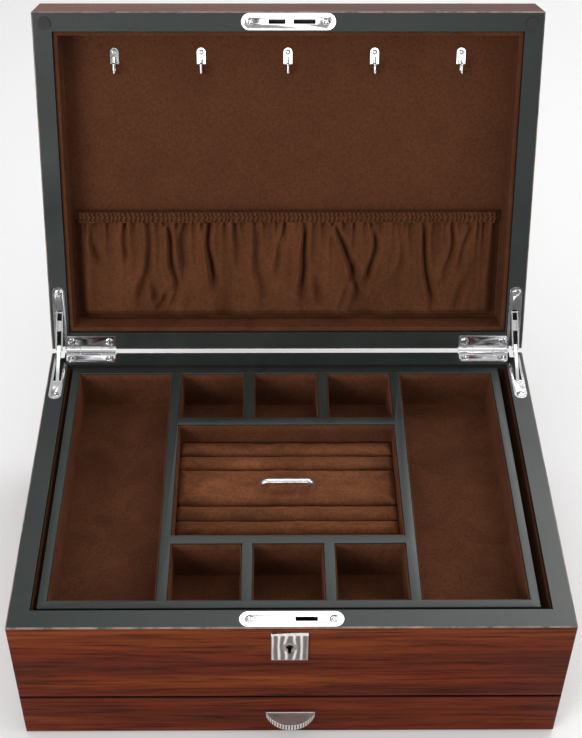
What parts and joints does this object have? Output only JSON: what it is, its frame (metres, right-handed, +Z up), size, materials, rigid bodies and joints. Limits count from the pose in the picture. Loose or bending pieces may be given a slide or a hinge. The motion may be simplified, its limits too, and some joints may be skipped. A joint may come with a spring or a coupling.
{
  "type": "jewelry box",
  "caption": "Lockable two-tier wooden jewelry box with a hinged lid, lift-out compartment tray, ring rolls, elastic lid pocket, necklace hooks and a base drawer.",
  "frame": {"origin": "centre of the case's underside, where its felt rests on a table", "axes": "+Z up, -Y the front with the lock and drawer, +X the right side seen from the front"},
  "size_m": [0.35, 0.3802, 0.3491],
  "materials": {
    "veneer": "high gloss",
    "plain_board": "satin",
    "tray_lacquer": "satin",
    "suede": "matte",
    "pocket_suede": "matte",
    "elastic_band": "matte",
    "roll_velvet": "matte",
    "foam": "matte",
    "felt": "matte",
    "chrome": "polished",
    "screw_steel": "polished",
    "lock_steel": "satin",
    "bumper": "matte"
  },
  "bodies": {
    "case": {"base_felt": "felt", "case_back": "veneer", "case_bottom": "plain_board", "case_divider": "plain_board", "case_floor_lining": "suede", "case_front": "veneer", "case_left_side": "veneer", "case_right_side": "veneer", "case_screws": "screw_steel", "case_wall_lining": "suede", "drawer_runners": "plain_board", "drawer_stop": "plain_board", "escutcheon": "chrome", "hinge_case_leaf_left": "chrome", "hinge_case_leaf_right": "chrome", "hinge_pins": "chrome", "lock_case": "lock_steel", "lock_plate": "chrome", "tray_ledges": "plain_board"},
    "lock_bolt": {"lock_bolt": "lock_steel"},
    "drawer": {"drawer_front": "veneer", "drawer_sides": "plain_board", "drawer_back": "plain_board", "drawer_bottom": "plain_board", "drawer_lining": "suede", "drawer_pull": "chrome", "drawer_pull_screws": "screw_steel"},
    "lid": {"lid_back_rail": "veneer", "lid_bumpers": "bumper", "lid_front_rail": "veneer", "lid_left_rail": "veneer", "lid_panel_board": "plain_board", "lid_panel_suede": "suede", "lid_pocket": "pocket_suede", "lid_right_rail": "veneer", "lid_screws": "screw_steel", "lid_top_panel": "veneer", "lid_wall_lining": "suede", "hinge_lid_leaf_left": "chrome", "hinge_lid_leaf_right": "chrome", "hook_screws": "screw_steel", "necklace_hooks": "chrome", "pocket_elastic": "elastic_band", "strike_plate": "chrome", "stay_lid_pins": "chrome"},
    "stay_upper_left": {"stay_upper_link_left": "chrome"},
    "stay_upper_right": {"stay_upper_link_right": "chrome"},
    "stay_lower_left": {"stay_lower_link_left": "chrome"},
    "stay_lower_right": {"stay_lower_link_right": "chrome"},
    "tray": {"tray_bottom": "plain_board", "tray_cross_dividers": "tray_lacquer", "tray_handle": "chrome", "tray_handle_screws": "screw_steel", "tray_linings": "suede", "tray_long_dividers": "tray_lacquer", "tray_short_dividers": "tray_lacquer", "tray_walls": "tray_lacquer", "ring_centre_pad": "roll_velvet", "ring_foam_base": "foam", "ring_rolls": "roll_velvet"}
  },
  "joints": [
    {"name": "lid_hinge", "type": "hinge", "parent": "case", "child": "lid", "pos_m": [0, 0.125, 0.1156], "axis": [-1, 0, 0], "range_deg": [-110, 0]},
    {"name": "drawer_slide", "type": "slide", "parent": "case", "child": "drawer", "axis": [0, -1, 0], "range_m": [0, 0.18]},
    {"name": "tray_lift", "type": "slide", "parent": "case", "child": "tray", "axis": [0, 0, 1], "range_m": [0, 0.12]},
    {"name": "lock_bolt_turn", "type": "hinge", "parent": "case", "child": "lock_bolt", "pos_m": [-0.0005, -0.1173, 0.104], "axis": [0, -1, 0], "range_deg": [0, 70]},
    {"name": "stay_upper_left_turn", "type": "hinge", "parent": "lid", "child": "stay_upper_left", "pos_m": [-0.1678, 0.13838, 0.14212], "axis": [-1, 0, 0], "range_deg": [-22.5, 0]},
    {"name": "stay_lower_left_turn", "type": "hinge", "parent": "case", "child": "stay_lower_left", "pos_m": [-0.1678, 0.0955, 0.1121], "axis": [1, 0, 0], "range_deg": [-22.5, 0]},
    {"name": "stay_upper_right_turn", "type": "hinge", "parent": "lid", "child": "stay_upper_right", "pos_m": [0.1678, 0.13838, 0.14212], "axis": [-1, 0, 0], "range_deg": [-22.5, 0]},
    {"name": "stay_lower_right_turn", "type": "hinge", "parent": "case", "child": "stay_lower_right", "pos_m": [0.1678, 0.0955, 0.1121], "axis": [1, 0, 0], "range_deg": [-22.5, 0]}
  ],
  "couplings": [
    {"joint": "stay_upper_left_turn", "follows": "lid_hinge", "ratio": 0.20208},
    {"joint": "stay_upper_right_turn", "follows": "lid_hinge", "ratio": 0.20208},
    {"joint": "stay_lower_left_turn", "follows": "lid_hinge", "ratio": 0.20208},
    {"joint": "stay_lower_right_turn", "follows": "lid_hinge", "ratio": 0.20208}
  ]
}
